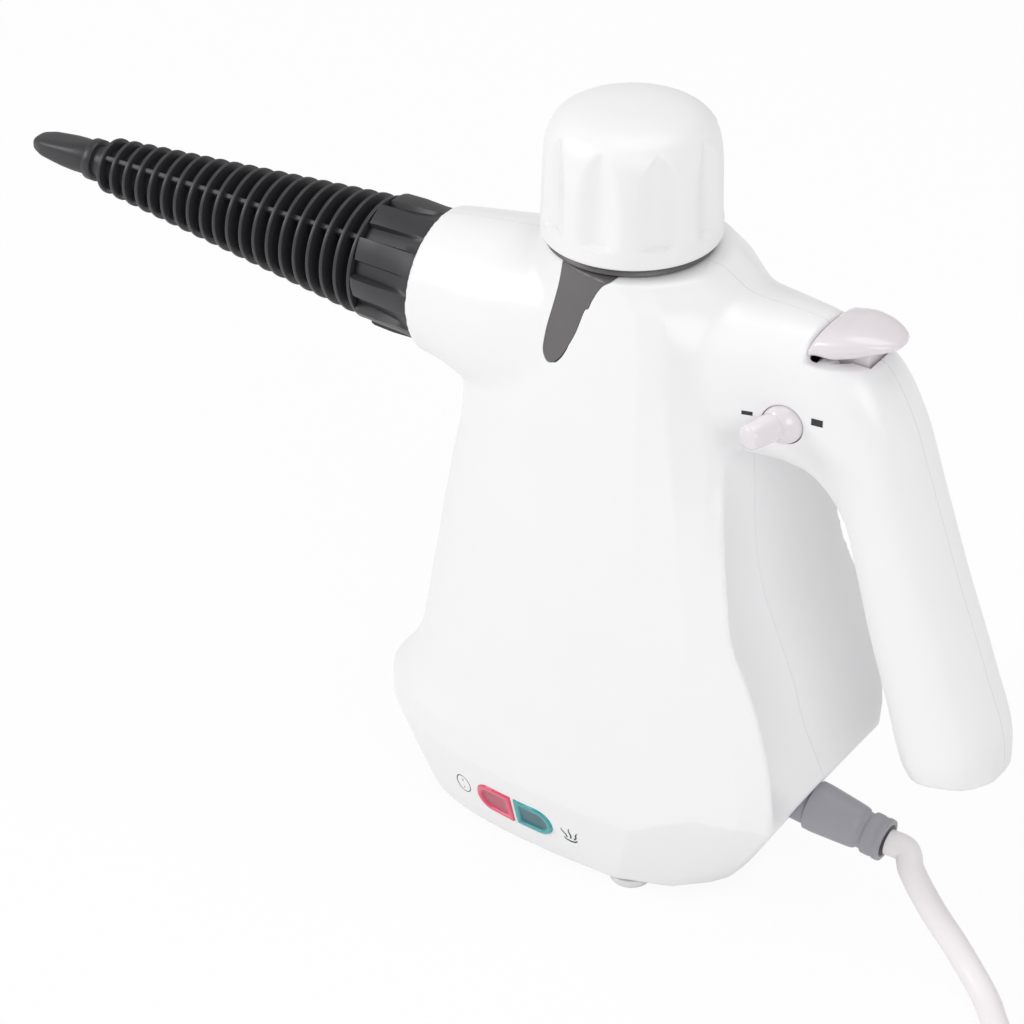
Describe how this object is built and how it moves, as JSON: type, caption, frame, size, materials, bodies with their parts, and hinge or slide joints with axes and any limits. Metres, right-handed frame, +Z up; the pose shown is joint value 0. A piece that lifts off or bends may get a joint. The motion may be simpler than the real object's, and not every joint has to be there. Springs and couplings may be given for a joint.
{
  "type": "handheld steam cleaner",
  "caption": "Handheld steam cleaner: boiler in a moulded housing with pistol handle and trigger, screw-down filler cap, finned nozzle and mains lead.",
  "frame": {"origin": "floor under the middle of the appliance without its cord: centre of its footprint box, at the feet's underside", "axes": "+X from the nozzle to the handle, +Y to the right side seen from behind the handle looking at the nozzle, +Z up"},
  "size_m": [0.4551, 0.1083, 0.2256],
  "materials": {
    "cast_aluminium": "as cast",
    "silicone_red": "red silicone, matt",
    "steel": "bright zinc plated",
    "black_rubber": "black, matt",
    "brass": "turned, dull",
    "white_abs": "white, satin gloss, fine moulding grain",
    "charcoal_nylon": "charcoal, fine grain",
    "pale_rubber": "pale grey, matt",
    "collar_grey": "dark grey, satin",
    "smoke_clear": "smoky grey, polished",
    "lens_red": "translucent red",
    "lens_teal": "translucent teal",
    "lamp_glass": "pale, clear",
    "board_green": "green laminate",
    "terminal_ivory": "ivory nylon",
    "gland_grey": "grey, flexible",
    "cord_pvc": "pale grey, soft"
  },
  "bodies": {
    "housing": {"boiler_pot": "cast_aluminium", "boiler_gasket": "silicone_red", "boiler_lid": "cast_aluminium", "heating_element": "steel", "thermostat": "black_rubber", "thermal_fuse": "brass", "left_shell": "white_abs", "right_shell": "white_abs", "base_plate": "white_abs", "foot_1": "pale_rubber", "foot_2": "pale_rubber", "foot_3": "pale_rubber", "foot_4": "pale_rubber", "screw_1": "steel", "screw_2": "steel", "screw_3": "steel", "screw_4": "steel", "screw_5": "steel", "filler_collar": "collar_grey", "spout_socket": "charcoal_nylon", "trigger_pin": "steel", "valve_body": "brass", "valve_spring": "steel", "inlet_pipe": "brass", "outlet_pipe": "brass", "power_lens": "lens_red", "ready_lens": "lens_teal", "power_lamp": "lamp_glass", "ready_lamp": "lamp_glass", "lamp_board": "board_green", "terminal_block": "terminal_ivory", "cord_gland": "gland_grey", "cord_lead": "cord_pvc", "cord_coil": "cord_pvc", "cord_tail": "cord_pvc", "coil_tie": "black_rubber", "plug_body": "cord_pvc", "plug_pin_1": "steel", "plug_pin_2": "steel"},
    "filler_plug": {"cap_plug": "charcoal_nylon", "cap_seal": "silicone_red", "cap_spring": "steel"},
    "filler_cap": {"cap_cover": "white_abs"},
    "nozzle": {"nozzle_fins": "charcoal_nylon", "nozzle_tip": "charcoal_nylon", "nozzle_seal": "silicone_red"},
    "locking_collar": {"nozzle_collar": "charcoal_nylon"},
    "trigger": {"trigger": "smoke_clear"},
    "plunger": {"valve_plunger": "brass"},
    "lock": {"lock_lever": "smoke_clear"}
  },
  "joints": [
    {"name": "plug_lift", "type": "slide", "parent": "housing", "child": "filler_plug", "axis": [0, 0, 1], "range_m": [0, 0.045]},
    {"name": "cap_turn", "type": "hinge", "parent": "filler_plug", "child": "filler_cap", "pos_m": [0.04158, 0, 0.2], "axis": [0, 0, 1], "continuous": true},
    {"name": "nozzle_pull", "type": "slide", "parent": "housing", "child": "nozzle", "axis": [-0.9997, 0, 0.0253], "range_m": [0, 0.035]},
    {"name": "collar_twist", "type": "hinge", "parent": "nozzle", "child": "locking_collar", "pos_m": [-0.01612, 0, 0.1577], "axis": [-0.9997, 0, 0.0253], "range_deg": [0, 30]},
    {"name": "trigger_press", "type": "hinge", "parent": "housing", "child": "trigger", "pos_m": [0.10368, 0, 0.17], "axis": [0, 1, 0], "range_deg": [0, 9], "stiffness_Nm_per_rad": 0.25, "springref_deg": -6.88},
    {"name": "plunger_press", "type": "slide", "parent": "housing", "child": "plunger", "axis": [0, 0, -1], "range_m": [0, 0.0013], "deforming": ["valve_spring"]},
    {"name": "lock_swing", "type": "hinge", "parent": "housing", "child": "lock", "pos_m": [0.09638, -0.0146, 0.1565], "axis": [0, 0, 1], "range_deg": [0, 32]}
  ],
  "couplings": [
    {"joint": "plunger_press", "follows": "trigger_press", "m_per_rad": 0.007}
  ]
}
